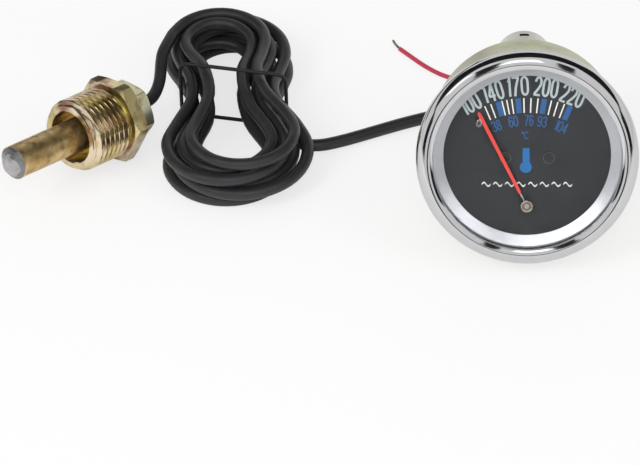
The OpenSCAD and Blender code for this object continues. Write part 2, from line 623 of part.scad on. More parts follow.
thread_len = thread_pitch * thread_turns;
thread_root = thread_r - thread_depth;
crest_w = thread_pitch * 0.3;
module adapter() color("#c3b06a") in_probe_frame() difference() {
    union() {
        rotate_extrude() polygon(concat(
            [[0, 0], [0, -thread_len], [thread_root - 0.1, -thread_len]],
            [for (i = [0 : thread_turns - 1], p = [[thread_root, 0.1], [thread_r, 0.38], [thread_r, 0.68], [thread_root, 0.96]])
                [p[0], -thread_len + thread_pitch * (i + p[1])]],
            [[thread_root, 0]]));
        nut_blank(hex_r, 0, hex_t, hex_spin);
    }
    rod(bore_r, -thread_len - past, seat_z - seat_wall);
    rod(bulb_r + run_gap, -thread_len, hex_t);
    rod(nut_thread_r + run_gap, seat_z, hex_t + past);
}
module compression_nut() color("#cdbf7d") in_probe_frame() difference() {
    union() {
        rod(nut_thread_r, seat_z + collar_t, nut_z + 0.5);
        nut_blank(nut_r, nut_z, nut_end, nut_spin);
    }
    rod(neck_r + run_gap, seat_z, nut_end + past);
}

module cord_lead() color("#222222") tube(lead_path, cord_r, 8);
module cord_hank() color("#222222") tube(hank_path, cord_r, 6);
module cord_tail() color("#222222") tube(tail_path, cord_r, 8);

// The tie: a rounded loop of wire round the hank's waist, as wide as the turns that cross it
function on_tie(p) = let(q = [p[0], p[1]] - hank_pos)
    [q * [cos(tie_turn), sin(tie_turn)], q * [-sin(tie_turn), cos(tie_turn)]];
tie_crossings = [for (i = [0 : len(hank_path) - 2])
    let(a = on_tie(hank_path[i]), b = on_tie(hank_path[i + 1]))
    if (a[1] * b[1] <= 0) let(x = a[0] + (b[0] - a[0]) * a[1] / (a[1] - b[1]))
        x + sign(x) * cord_r * norm(b - a) / abs(b[1] - a[1])];
tie_mid = round(10 * (max(tie_crossings) + min(tie_crossings)) / 2) / 10;
tie_half_w = ceil(10 * ((max(tie_crossings) - min(tie_crossings)) / 2 + soft_gap + tie_d / 2)) / 10;
tie_h = layer_h * (layers - 1) + cord_d + tie_lift + soft_gap;
tie_corner = cord_r + soft_gap + tie_d / 2;
module cord_tie() color("#1b1b1b") translate([hank_pos[0], hank_pos[1], floor_z + tie_d / 2])
    rotate([90, 0, tie_turn]) translate([tie_mid, 0, 0]) {
    for (end_x = [-1, 1]) {
        translate([end_x * tie_half_w, tie_corner, 0]) rotate([-90, 0, 0])
            cylinder(d = tie_d, h = tie_h - 2 * tie_corner, $fn = 24);
        for (end_y = [-1, 1])
            translate([end_x * (tie_half_w - tie_corner), end_y > 0 ? tie_h - tie_corner : tie_corner, 0])
                rotate(end_x * end_y > 0 ? (end_x > 0 ? 0 : 180) : (end_x > 0 ? -90 : 90))
                    rotate_extrude(angle = 90) translate([tie_corner, 0]) circle(d = tie_d, $fn = 24);
    }
    for (y = [0, tie_h]) translate([-tie_half_w + tie_corner, y, 0]) rotate([0, 90, 0])
        cylinder(d = tie_d, h = 2 * (tie_half_w - tie_corner), $fn = 24);
}

module lamp_wire() color("#c8405a") tube(wire_path, wire_r, 8);
module wire_strands() color("silver") tube(strand_path, strand_d / 2, 8);

bezel();
lens();
lens_seal();
reflector_ring();
case();
dial();
dial_screws();
dial_posts();
stop_pin();
pointer();
pointer_hub();
spindle();
crank();
link();
movement_base();
rear_plate();
front_plate();
plate_pillars();
socket_block();
pressure_tube();
tube_end();
lamp_holder();
lamp_insulator();
lamp_contact();
lamp_cap();
lamp_glass();
gland_washer();
gland_nut();
gland_body();
mounting_studs();
stud_washers();
stud_nut_left();
stud_nut_right();
sensing_bulb();
bulb_tip();
bulb_collar();
adapter();
compression_nut();
cord_lead();
cord_hank();
cord_tail();
cord_tie();
lamp_wire();
wire_strands();
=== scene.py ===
import math
import bpy
from mathutils import Matrix, Vector


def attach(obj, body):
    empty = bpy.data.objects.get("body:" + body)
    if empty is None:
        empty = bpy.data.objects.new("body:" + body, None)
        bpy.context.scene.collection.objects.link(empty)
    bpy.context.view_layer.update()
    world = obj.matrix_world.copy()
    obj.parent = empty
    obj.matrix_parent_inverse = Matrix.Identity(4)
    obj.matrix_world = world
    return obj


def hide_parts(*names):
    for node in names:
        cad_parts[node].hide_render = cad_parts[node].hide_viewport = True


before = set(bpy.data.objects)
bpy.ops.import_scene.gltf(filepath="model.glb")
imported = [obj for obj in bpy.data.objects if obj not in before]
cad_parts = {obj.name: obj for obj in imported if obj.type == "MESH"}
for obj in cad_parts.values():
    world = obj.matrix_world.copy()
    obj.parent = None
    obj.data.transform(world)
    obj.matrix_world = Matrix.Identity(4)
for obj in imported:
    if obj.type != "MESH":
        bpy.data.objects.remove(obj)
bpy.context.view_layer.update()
MM = 0.001
scene = bpy.context.scene

# The gauge's lean, and the surface under the rounded rear edge of its case
LEAN = math.radians(20.6)
SIN, COS = math.sin(LEAN), math.cos(LEAN)
FLOOR = -21.7 * SIN - 24.4 * COS - 1.5

# The probe's axis, from the bulb to the cord, and the place of the adapter's hexagon
YAW, PITCH = math.radians(49), math.radians(10.4)
AXIS = Vector((math.cos(PITCH) * math.cos(YAW), math.cos(PITCH) * math.sin(YAW), -math.sin(PITCH)))
HEX_FLATS = 22
HEX_R = HEX_FLATS / 2 / math.cos(math.radians(30))
HEX_SPIN, NUT_SPIN = 21, 29
HEX_THICK = 4.5
PROBE = Vector((-117.5, 39.4, FLOOR + HEX_THICK * math.sin(PITCH)
                + HEX_R * math.cos(math.radians(HEX_SPIN)) * math.cos(PITCH)))


def from_dial(x, y, z):
    """A point of the dial, in millimetres with z towards the reader, in the scene's metres."""
    return Vector((x, y * SIN - z * COS, y * COS + z * SIN)) * MM


def from_probe(x, y, z):
    """A point of the probe, in millimetres with z towards the cord, in the scene's metres."""
    turned = Matrix.Rotation(YAW, 3, "Z") @ Matrix.Rotation(math.pi / 2 + PITCH, 3, "Y")
    return (PROBE + turned @ Vector((x, y, z))) * MM


def place_camera():
    """The camera of the photo."""
    az, el, roll = math.radians(-2.174), math.radians(39.829), math.radians(-1.337)
    look = Vector((math.sin(az) * math.cos(el), math.cos(az) * math.cos(el), -math.sin(el)))
    right = Vector((math.cos(az), -math.sin(az), 0))
    up = right.cross(look)
    side = math.cos(roll) * right + math.sin(roll) * up
    top = math.cos(roll) * up - math.sin(roll) * right
    data = bpy.data.cameras.new("camera")
    data.lens, data.sensor_width, data.clip_start = 208.86, 36, 0.05
    camera = bpy.data.objects.new("camera", data)
    scene.collection.objects.link(camera)
    turned = Matrix((side, top, -look)).transposed().to_4x4()
    turned.translation = Vector((-26.637, -783.94, 626.774)) * MM
    camera.matrix_world = turned
    scene.camera = camera


place_camera()

# Cord: steps between the hank's turns and layers, its two lobes and waist, its place, and its tie
CORD_D, STEP, LAYER, LAYERS, LAYER_TURNS = 3.5, 4.45, 4.2, 4, 2
FAR_LEN, NEAR_LEN, FAR_R, NEAR_R, WAIST, SHIFT, FAN = 37, 43, 17, 20, 12.5, -0.8, math.radians(4)
START, TURNS, TURN_RINGS = -0.025, 7.35, 24
HANK_X, HANK_Y, HANK_TILT = -83.5, 55.7, math.radians(6)
TIE_D, TIE_LIFT, TIE_REACH, TIE_ROOM, TIE_TURN = 1.1, 1.65, 10, 0.3, math.radians(-11)


def side_x(y, r, run):
    """Half width of the hank at a distance from its waist."""
    return r - (r - WAIST) * (1 + math.cos(math.pi * y / run)) / 2


def half_loop(h, r, run):
    """A point at the share h of one lobe: out along one side, round its end and back."""
    d = h * (2 * run + math.pi * r)
    a = (d - run) / r
    if a < 0:
        return Vector((side_x(d, r, run), d))
    if a < math.pi:
        return Vector((r * math.cos(a), run + r * math.sin(a)))
    y = 2 * run + math.pi * r - d
    return Vector((-side_x(y, r, run), y))


def outer_loop(u):
    """A point of the outermost turn after u turns, flat and about the waist."""
    f = u - math.floor(u)
    if f < 0.5:
        return half_loop(2 * f, FAR_R, FAR_LEN - FAR_R)
    return -half_loop(2 * f - 1, NEAR_R, NEAR_LEN - NEAR_R)


def hank_point(u):
    """A point of the hank after u turns, two turns to a layer and layer on layer."""
    p, q = outer_loop(u), outer_loop(u + 0.002)
    t = (q - p).normalized()
    layer = sum(min(1, max(0, 2 * (u - k * LAYER_TURNS) + 0.5)) for k in range(1, LAYERS))
    period = 2 * LAYER_TURNS
    inward = STEP * (u if u < 1 else abs(u - period * math.floor(u / period + 0.5)))
    x0 = p.x - inward * t.y
    y0 = p.y + inward * t.x + SHIFT * (layer - (LAYERS - 1) / 2)
    turn = HANK_TILT - FAN * math.cos(math.pi * layer)
    x, y = x0 * math.cos(turn) - y0 * math.sin(turn), x0 * math.sin(turn) + y0 * math.cos(turn)
    off = y * math.cos(TIE_TURN) - x * math.sin(TIE_TURN)
    z = FLOOR + CORD_D / 2 + LAYER * layer + TIE_LIFT * math.exp(-(off / TIE_REACH) ** 2)
    return Vector((HANK_X + x, HANK_Y + y, z))


def heading(u):
    """Direction of the hank's cord after u turns."""
    return (hank_point(u + 0.001) - hank_point(u - 0.001)).normalized()


rings = round((TURNS - START) * TURN_RINGS)
coil = [hank_point(START + (TURNS - START) * i / rings) for i in range(rings + 1)]
coil = [coil[0] - CORD_D * heading(START)] + coil + [coil[-1] + CORD_D * heading(TURNS)]

# The free stretches, from the gland to the hank and from the hank to the compression nut
low = FLOOR + CORD_D / 2
back = Vector((0, COS, -SIN))
mouth = from_dial(0, -11, -37.4) / MM
lead = [mouth, mouth + CORD_D * back] + [Vector((x, y, low + up)) for x, y, up in (
    (-0.2, 41, 3.1), (-1.3, 47, 1.1), (-3.6, 51.8, 0.2), (-7, 55.6, 0), (-12.1, 57.7, 0), (-19.1, 57.2, 0),
    (-26.2, 55, 0), (-33.3, 52.2, 0), (-40.3, 49, 0), (-46.4, 46.1, 0), (-51.4, 43.9, 0), (-56, 42.3, 0),
    (-59.5, 41.8, 0.1), (-62.1, 42.1, 0.3), (-64.3, 43.1, 0.6), (-66.1, 44.6, 1))]
NUT_END = 10.5
tail = [Vector((x, y, FLOOR + up)) for x, y, up in (
    (-103, 69.7, 14.1), (-103.4, 66.3, 13.3), (-103.5, 63.1, 12.1), (-103.7, 60.1, 11), (-104.4, 57, 10),
    (-105.7, 53.7, 9.6))] + [PROBE + (NUT_END + CORD_D) * AXIS, PROBE + NUT_END * AXIS]


def on_tie(p):
    """Distances of a point along the tie's plane and out of it."""
    x, y = p.x - HANK_X, p.y - HANK_Y
    return x * math.cos(TIE_TURN) + y * math.sin(TIE_TURN), y * math.cos(TIE_TURN) - x * math.sin(TIE_TURN)


def tie_route():
    """The tie's rounded loop round the turns that cross its plane, closed with a small overlap below them."""
    reach = []
    for p, q in zip(coil, coil[1:]):
        a, b = on_tie(p), on_tie(q)
        if a[1] * b[1] <= 0:
            x = a[0] + (b[0] - a[0]) * a[1] / (a[1] - b[1])
            reach.append(x + math.copysign(CORD_D / 2 * (q - p).length / abs(b[1] - a[1]), x))
    middle = round(5 * (max(reach) + min(reach))) / 10
    half = math.ceil(10 * ((max(reach) - min(reach)) / 2 + TIE_ROOM + TIE_D / 2)) / 10
    height = LAYER * (LAYERS - 1) + CORD_D + TIE_LIFT + TIE_ROOM
    corner = CORD_D / 2 + TIE_ROOM + TIE_D / 2
    points = []
    for cx, cz, start in ((1, 0, -90), (1, 1, 0), (-1, 1, 90), (-1, 0, 180)):
        for i in range(9):
            a = math.radians(start + 90 * i / 8)
            x = middle + cx * (half - corner) + corner * math.cos(a)
            z = (height - corner if cz else corner) + corner * math.sin(a)
            points.append(Vector((HANK_X + x * math.cos(TIE_TURN), HANK_Y + x * math.sin(TIE_TURN),
                                  FLOOR + TIE_D / 2 + z)))
    return points + [points[0] + (points[-1] - points[0]) * 0.05]


def cord_curve(name, points, diameter, sides=4):
    """A round cord as one open spline through points in millimetres."""
    data = bpy.data.curves.new(name, "CURVE")
    data.dimensions, data.bevel_depth, data.bevel_resolution = "3D", 1, sides
    data.use_fill_caps = True
    spline = data.splines.new("POLY")
    spline.points.add(len(points) - 1)
    for point, place in zip(spline.points, points):
        point.co, point.radius = (*(place * MM), 1), diameter / 2 * MM
    spline.use_smooth = True
    piece = bpy.data.objects.new(name, data)
    scene.collection.objects.link(piece)
    return piece


def smooth_route(points, parts=4):
    """Points between the given ones on a smooth curve that keeps to the given ones."""
    ends = [2 * points[0] - points[1]] + list(points) + [2 * points[-1] - points[-2]]
    route = []
    for a, b, c, d in zip(ends, ends[1:], ends[2:], ends[3:]):
        for i in range(parts):
            t = i / parts
            route.append(((2 * b) + (c - a) * t + (2 * a - 5 * b + 4 * c - d) * t * t
                          + (3 * b - a - 3 * c + d) * t ** 3) / 2)
    return route + [points[-1]]


cord_route = smooth_route(lead + coil + tail)
capillary = cord_curve("capillary", cord_route, CORD_D)
tie = cord_curve("hank_tie", tie_route(), TIE_D)

# Lamp wire, from the holder's contact down to the surface, with its stripped end
WIRE_D, STRAND_D = 1.35, 0.8
wire_low = FLOOR + WIRE_D / 2
contact = from_dial(0, 14.5, -42.8) / MM
wire_route = smooth_route([contact, contact + 2 * WIRE_D * back] + [Vector(p) for p in (
    (0, 51.6, -4), (-1, 56.7, -8.6), (-3, 61.8, -14.9), (-6, 66.2, -21.5), (-10, 70.1, -27.4),
    (-15, 72.8, wire_low + 0.4), (-19, 74.3, wire_low), (-23.5, 76.8, wire_low), (-28, 80.8, wire_low),
    (-32, 85.3, wire_low), (-35, 88.8, wire_low))])
lamp_wire = cord_curve("lamp_wire_insulation", wire_route, WIRE_D, 3)
strand_ends = [Vector(p) for p in ((-35, 88.8, wire_low), (-36.2, 90.8, wire_low), (-37, 92.8, wire_low))]
strands = cord_curve("lamp_wire_strands", smooth_route(strand_ends, 6), STRAND_D, 2)


def shader_group(name, inputs, outputs):
    """An empty shader group that several materials share, with its input and output nodes."""
    group = bpy.data.node_groups.new(name, "ShaderNodeTree")
    for label, kind, value in inputs:
        made = group.interface.new_socket(label, in_out="INPUT", socket_type=kind)
        made.default_value = value
    for label, kind in outputs:
        group.interface.new_socket(label, in_out="OUTPUT", socket_type=kind)
    return group, group.nodes.new("NodeGroupInput"), group.nodes.new("NodeGroupOutput")


def wear_group():
    """Fine scratches and handling haze: a roughness, a height and a mask, from the object's own position."""
    group, given, made = shader_group(
        "surface wear",
        [("Scale", "NodeSocketFloat", 400.0), ("Roughness", "NodeSocketFloat", 0.3),
         ("Spread", "NodeSocketFloat", 0.1)],
        [("Roughness", "NodeSocketFloat"), ("Height", "NodeSocketFloat"), ("Mask", "NodeSocketFloat")])
    nodes, links = group.nodes, group.links
    place = nodes.new("ShaderNodeTexCoord")
    haze = nodes.new("ShaderNodeTexNoise")
    haze.inputs["Detail"].default_value = 5
    fine = nodes.new("ShaderNodeTexNoise")
    fine.inputs["Detail"].default_value = 3
    finer = nodes.new("ShaderNodeMath")
    finer.operation = "MULTIPLY"
    finer.inputs[1].default_value = 6
    spread = nodes.new("ShaderNodeMath")
    spread.operation = "MULTIPLY_ADD"
    centred = nodes.new("ShaderNodeMath")
    centred.operation = "SUBTRACT"
    centred.inputs[1].default_value = 0.5
    links.new(place.outputs["Object"], haze.inputs["Vector"])
    links.new(place.outputs["Object"], fine.inputs["Vector"])
    links.new(given.outputs["Scale"], haze.inputs["Scale"])
    links.new(given.outputs["Scale"], finer.inputs[0])
    links.new(finer.outputs[0], fine.inputs["Scale"])
    links.new(haze.outputs["Fac"], centred.inputs[0])
    links.new(centred.outputs[0], spread.inputs[0])
    links.new(given.outputs["Spread"], spread.inputs[1])
    links.new(given.outputs["Roughness"], spread.inputs[2])
    links.new(spread.outputs[0], made.inputs["Roughness"])
    links.new(fine.outputs["Fac"], made.inputs["Height"])
    links.new(haze.outputs["Fac"], made.inputs["Mask"])
    return group


def stain_group():
    """Blotches between three colours, as a dipped or aged metal has, from the object's own position."""
    group, given, made = shader_group(
        "plating stain",
        [("Scale", "NodeSocketFloat", 120.0), ("Light", "NodeSocketColor", (0.8, 0.8, 0.7, 1)),
         ("Middle", "NodeSocketColor", (0.6, 0.6, 0.4, 1)), ("Dark", "NodeSocketColor", (0.3, 0.25, 0.15, 1)),
         ("Dark share", "NodeSocketFloat", 0.4)],
        [("Color", "NodeSocketColor"), ("Mask", "NodeSocketFloat")])
    nodes, links = group.nodes, group.links
    place = nodes.new("ShaderNodeTexCoord")
    broad = nodes.new("ShaderNodeTexNoise")
    broad.inputs["Detail"].default_value = 4
    broad.inputs["Distortion"].default_value = 0.6
    patch = nodes.new("ShaderNodeTexNoise")
    patch.inputs["Detail"].default_value = 6
    closer = nodes.new("ShaderNodeMath")
    closer.operation = "MULTIPLY"
    closer.inputs[1].default_value = 2.3
    first = nodes.new("ShaderNodeMapRange")
    first.inputs["From Min"].default_value = 0.42
    first.inputs["From Max"].default_value = 0.6
    second = nodes.new("ShaderNodeMapRange")
    second.inputs["From Max"].default_value = 0.72
    mix_a = nodes.new("ShaderNodeMix")
    mix_b = nodes.new("ShaderNodeMix")
    mix_a.data_type = mix_b.data_type = "RGBA"
    links.new(place.outputs["Object"], broad.inputs["Vector"])
    links.new(place.outputs["Object"], patch.inputs["Vector"])
    links.new(given.outputs["Scale"], broad.inputs["Scale"])
    links.new(given.outputs["Scale"], closer.inputs[0])
    links.new(closer.outputs[0], patch.inputs["Scale"])
    links.new(broad.outputs["Fac"], first.inputs["Value"])
    links.new(patch.outputs["Fac"], second.inputs["Value"])
    links.new(given.outputs["Dark share"], second.inputs["From Min"])
    links.new(first.outputs["Result"], mix_a.inputs["Factor"])
    links.new(given.outputs["Middle"], mix_a.inputs["A"])
    links.new(given.outputs["Light"], mix_a.inputs["B"])
    links.new(second.outputs["Result"], mix_b.inputs["Factor"])
    links.new(mix_a.outputs["Result"], mix_b.inputs["A"])
    links.new(given.outputs["Dark"], mix_b.inputs["B"])
    links.new(mix_b.outputs["Result"], made.inputs["Color"])
    links.new(second.outputs["Result"], made.inputs["Mask"])
    return group


surface_wear, plating_stain = wear_group(), stain_group()


def finish(name, color, metallic, roughness, spread, scale, bump, tint=None, stain=None, **more):
    """A material with worn roughness and fine bump, its colour drifting to a tint or replaced by a stain."""
    material = bpy.data.materials.new(name)
    material.use_nodes = True
    nodes, links = material.node_tree.nodes, material.node_tree.links
    skin = nodes["Principled BSDF"]
    skin.inputs["Metallic"].default_value = metallic
    for socket, value in more.items():
        skin.inputs[socket.replace("_", " ")].default_value = value
    wear = nodes.new("ShaderNodeGroup")
    wear.node_tree = surface_wear
    wear.inputs["Scale"].default_value = scale
    wear.inputs["Roughness"].default_value = roughness
    wear.inputs["Spread"].default_value = spread
    links.new(wear.outputs["Roughness"], skin.inputs["Roughness"])
    relief = nodes.new("ShaderNodeBump")
    relief.inputs["Strength"].default_value = bump
    relief.inputs["Distance"].default_value = 0.0003
    links.new(wear.outputs["Height"], relief.inputs["Height"])
    links.new(relief.outputs["Normal"], skin.inputs["Normal"])
    if stain:
        plating = nodes.new("ShaderNodeGroup")
        plating.node_tree = plating_stain
        for label, value in zip(("Scale", "Light", "Middle", "Dark", "Dark share"), stain):
            plating.inputs[label].default_value = (*value, 1) if isinstance(value, tuple) else value
        links.new(plating.outputs["Color"], skin.inputs["Base Color"])
    else:
        shade = nodes.new("ShaderNodeMix")
        shade.data_type = "RGBA"
        shade.inputs["A"].default_value = (*color, 1)
        shade.inputs["B"].default_value = (*tint, 1)
        links.new(wear.outputs["Mask"], shade.inputs["Factor"])
        links.new(shade.outputs["Result"], skin.inputs["Base Color"])
    return material


def clear(name, color, rough, ior=1.45):
    """Glass that lets the light of lamps through to what lies behind it."""
    material = bpy.data.materials.new(name)
    material.use_nodes = True
    nodes, links = material.node_tree.nodes, material.node_tree.links
    skin, out = nodes["Principled BSDF"], nodes["Material Output"]
    skin.inputs["Base Color"].default_value = (*color, 1)
    skin.inputs["Transmission Weight"].default_value = 1
    skin.inputs["IOR"].default_value = ior
    wear = nodes.new("ShaderNodeGroup")
    wear.node_tree = surface_wear
    wear.inputs["Scale"].default_value = 250
    wear.inputs["Roughness"].default_value = rough
    wear.inputs["Spread"].default_value = rough
    links.new(wear.outputs["Roughness"], skin.inputs["Roughness"])
    path = nodes.new("ShaderNodeLightPath")
    through = nodes.new("ShaderNodeBsdfTransparent")
    blend = nodes.new("ShaderNodeMixShader")
    links.new(path.outputs["Is Shadow Ray"], blend.inputs["Fac"])
    links.new(skin.outputs["BSDF"], blend.inputs[1])
    links.new(through.outputs["BSDF"], blend.inputs[2])
    links.new(blend.outputs["Shader"], out.inputs["Surface"])
    return material


chrome = finish("bezel chrome", (0.68, 0.68, 0.69), 1, 0.07, 0.06, 300, 0.004, (0.60, 0.60, 0.61))
lens_glass = clear("lens glass", (0.98, 0.99, 1.0), 0.01, ior=1.2)
lamp_bulb_glass = clear("lamp bulb glass", (0.97, 0.96, 0.92), 0.03)
satin_ring = finish("satin reflector", (0.66, 0.66, 0.68), 0.85, 0.42, 0.12, 900, 0.05, (0.58, 0.58, 0.60))
case_zinc = finish("case zinc", None, 0.75, 0.34, 0.15, 200, 0.03, stain=(
    38.0, (0.60, 0.60, 0.42), (0.54, 0.49, 0.43), (0.42, 0.43, 0.25), 0.48))
dial_paint = finish("dial paint", (0.019, 0.020, 0.021), 0, 0.7, 0.1, 1500, 0.1, (0.026, 0.027, 0.029))
dark_screw = finish("dark screw", (0.018, 0.018, 0.018), 0.3, 0.6, 0.2, 1500, 0.2, (0.05, 0.048, 0.045))
screw_edge = finish("screw edge", (0.38, 0.36, 0.32), 0.9, 0.35, 0.2, 1500, 0.2, (0.12, 0.11, 0.10))
turned_brass = finish("turned brass", (0.72, 0.55, 0.28), 1, 0.3, 0.15, 600, 0.05, (0.6, 0.44, 0.2))
hub_brass = finish("hub brass", (0.34, 0.27, 0.19), 0.8, 0.42, 0.2, 1500, 0.1, (0.2, 0.15, 0.1))
bronze = finish("tube bronze", (0.62, 0.4, 0.22), 1, 0.32, 0.15, 500, 0.05, (0.45, 0.27, 0.13))
bright_steel = finish("bright steel", (0.68, 0.68, 0.68), 1, 0.28, 0.15, 900, 0.05, (0.56, 0.56, 0.55))
pointer_paint = finish("pointer paint", (0.68, 0.07, 0.05), 0, 0.38, 0.1, 900, 0.03, (0.58, 0.05, 0.04),
                       Coat_Weight=0.2)
lamp_shell = finish("lamp shell", (0.66, 0.65, 0.60), 1, 0.09, 0.08, 300, 0.02, (0.54, 0.53, 0.46))
fibre = finish("pressed fibre", (0.16, 0.11, 0.07), 0, 0.7, 0.1, 1200, 0.3, (0.1, 0.07, 0.05))
adapter_zinc = finish("iridescent zinc", None, 0.95, 0.17, 0.12, 350, 0.04, stain=(
    70.0, (0.88, 0.74, 0.56), (0.68, 0.58, 0.28), (0.30, 0.17, 0.11), 0.5))
nut_zinc = finish("pale zinc", None, 0.9, 0.2, 0.12, 350, 0.04, stain=(
    110.0, (0.74, 0.76, 0.56), (0.66, 0.62, 0.36), (0.42, 0.30, 0.16), 0.55))
aged_brass = finish("aged brass", None, 0.9, 0.36, 0.2, 500, 0.08, stain=(
    160.0, (0.78, 0.57, 0.28), (0.56, 0.38, 0.15), (0.22, 0.14, 0.07), 0.5))
solder = finish("rough solder", (0.72, 0.69, 0.70), 0.9, 0.34, 0.3, 420, 1, (0.28, 0.27, 0.27))
# A darker copy of the solder for the outer ring of the bulb's solder dome: painted shade where its curved edge
# turns from the light.
solder_painted_shade_rim = finish("solder rim with painted shade", (0.36, 0.36, 0.37), 0.9, 0.34, 0.3, 300, 1, (0.14, 0.14, 0.145))
cord_sheath = finish("cord sheath", (0.018, 0.018, 0.02), 0, 0.36, 0.14, 260, 0.05, (0.03, 0.03, 0.032))
tie_black = finish("tie sheath", (0.012, 0.012, 0.012), 0, 0.5, 0.1, 900, 0.05, (0.02, 0.02, 0.02))
wire_red = finish("wire insulation", (0.58, 0.05, 0.09), 0, 0.4, 0.1, 600, 0.03, (0.5, 0.04, 0.10))
tinned = finish("tinned copper", (0.62, 0.56, 0.50), 1, 0.35, 0.1, 1500, 0.1, (0.5, 0.38, 0.3))
seal_rubber = finish("seal rubber", (0.02, 0.02, 0.02), 0, 0.6, 0.1, 900, 0.1, (0.03, 0.03, 0.03))
pale_ink = finish("pale ink", (0.42, 0.47, 0.47), 0, 0.55, 0.1, 1500, 0.02, (0.34, 0.39, 0.39))
white_ink = finish("white ink", (0.78, 0.76, 0.70), 0, 0.55, 0.1, 1500, 0.02, (0.66, 0.64, 0.6))
blue_ink = finish("blue ink", (0.022, 0.10, 0.27), 0, 0.55, 0.1, 1500, 0.02, (0.018, 0.08, 0.22))
icon_ink = finish("icon ink", (0.015, 0.13, 0.34), 0, 0.5, 0.1, 1500, 0.02, (0.012, 0.11, 0.28))

for node, material in {
        "bezel": chrome, "lens": lens_glass, "lens_seal": seal_rubber, "reflector_ring": satin_ring,
        "case": case_zinc, "dial": dial_paint, "dial_screws": dark_screw, "dial_posts": turned_brass,
        "stop_pin": screw_edge, "pointer": pointer_paint, "pointer_hub": hub_brass, "spindle": bright_steel,
        "crank": turned_brass, "link": turned_brass, "movement_base": turned_brass,
        "rear_plate": turned_brass, "front_plate": turned_brass, "plate_pillars": turned_brass,
        "socket_block": turned_brass, "pressure_tube": bronze, "tube_end": turned_brass,
        "lamp_holder": lamp_shell, "lamp_insulator": fibre, "lamp_contact": bright_steel,
        "lamp_cap": turned_brass, "lamp_glass": lamp_bulb_glass, "gland_washer": bright_steel,
        "gland_nut": nut_zinc, "gland_body": turned_brass, "mounting_studs": bright_steel,
        "stud_washers": bright_steel, "stud_nut_left": nut_zinc, "stud_nut_right": nut_zinc,
        "sensing_bulb": aged_brass, "bulb_tip": solder, "bulb_collar": turned_brass,
        "adapter": adapter_zinc, "compression_nut": nut_zinc}.items():
    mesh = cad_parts[node].data
    mesh.materials.clear()
    mesh.materials.append(material)


def mesh_piece(name, points, faces, material, body, nodes=(), smooth=True):
    """A piece from points in metres, which rides on a body and may stand for nodes."""
    mesh = bpy.data.meshes.new(name)
    mesh.from_pydata([tuple(p) for p in points], [], faces)
    mesh.validate()
    mesh.update()
    for polygon in mesh.polygons:
        polygon.use_smooth = smooth
    mesh.materials.append(material)
    piece = bpy.data.objects.new(name, mesh)
    scene.collection.objects.link(piece)
    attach(piece, body)
    if nodes:
        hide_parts(*nodes)
    return piece


# Dress the cords
for piece, material, slot, nodes in (
        (capillary, cord_sheath, "cord_black", ("cord_lead", "cord_hank", "cord_tail")),
        (tie, tie_black, "black_rubber", ("cord_tie",)),
        (lamp_wire, wire_red, "wire_red", ("lamp_wire",)),
        (strands, tinned, "tinned_copper", ("wire_strands",))):
    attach(piece, "gauge")
    piece.data.materials.append(material)
    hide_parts(*nodes)

# The pointer's pivot, the centre of the printed scale, the dial's face and the height of its ink
PIVOT_Y, PRINT_Y, DIAL_Z, INK = -14, -13.55, 0.8, 0.02
REST_ANGLE = 26.5


def flat_marks(name, outlines, material):
    """Thin flat shapes of ink, each an outline of points in metres."""
    points, faces = [], []
    for outline in outlines:
        faces.append(list(range(len(points), len(points) + len(outline))))
        points += outline
    return mesh_piece(name, points, faces, material, "gauge", smooth=False)


def along(r, a, side, z, centre_y=PIVOT_Y):
    """A point r out from a centre and a distance to the right of a line at a degrees left of upright."""
    t = math.radians(a)
    return from_dial(-r * math.sin(t) + side * math.cos(t), centre_y + r * math.cos(t) + side * math.sin(t), z)


def bar(r0, r1, a, half):
    """A straight mark of a half width in millimetres, between two radii."""
    corners = (r0, -half), (r0, half), (r1, half), (r1, -half)
    return [along(r, a, side, DIAL_Z + INK, PRINT_Y) for r, side in corners]


BAR_IN, BAR_OUT = 25.65, 29.8
flat_marks("scale_ticks", [bar(BAR_IN, BAR_OUT, a, 0.17) for a in (
    22.7, 19.4, 13.4, 10.9, 8.3, 2.0, -1.75, -5.4, -12.4, -15.8, -19.4)], white_ink)
flat_marks("scale_blocks", [bar(BAR_IN, BAR_OUT, a, 0.72) for a in (15.5, 5.0, -8.7, -22.7)],
           blue_ink)


def thermometer():
    """Outline of a plain thermometer: a bar over a round bulb."""
    r = 1.62
    top = [(0.9, 15.7), (-0.9, 15.7)]
    bulb = [(r * math.sin(math.radians(a)), 10.3 - r * math.cos(math.radians(a))) for a in range(-146, 147, 8)]
    return [from_dial(x - 0.3, PRINT_Y + y, DIAL_Z + INK) for x, y in top + bulb]


flat_marks("thermometer_mark", [thermometer()], icon_ink)


def wave_marks():
    """A plain row of short waves across the dial, as water has."""
    out = []
    for k in range(8):
        x0 = -12.2 + 3.15 * k
        top, under = [], []
        for i in range(13):
            x, y = x0 + 2.4 * i / 12, 5.4 + 0.55 * math.sin(2 * math.pi * i / 12)
            top.append(from_dial(x, PRINT_Y + y + 0.22, DIAL_Z + INK))
            under.append(from_dial(x, PRINT_Y + y - 0.22, DIAL_Z + INK))
        for i in range(12):
            out.append([under[i], under[i + 1], top[i + 1], top[i]])
    return out


flat_marks("wave_row", wave_marks(), white_ink)


def bow(cx, cy, rx, ry, start, end, steps=12):
    """Points of an elliptic arc between two angles in degrees."""
    turns = [math.radians(start + (end - start) * i / steps) for i in range(steps + 1)]
    return [(cx + rx * math.cos(t), cy + ry * math.sin(t)) for t in turns]


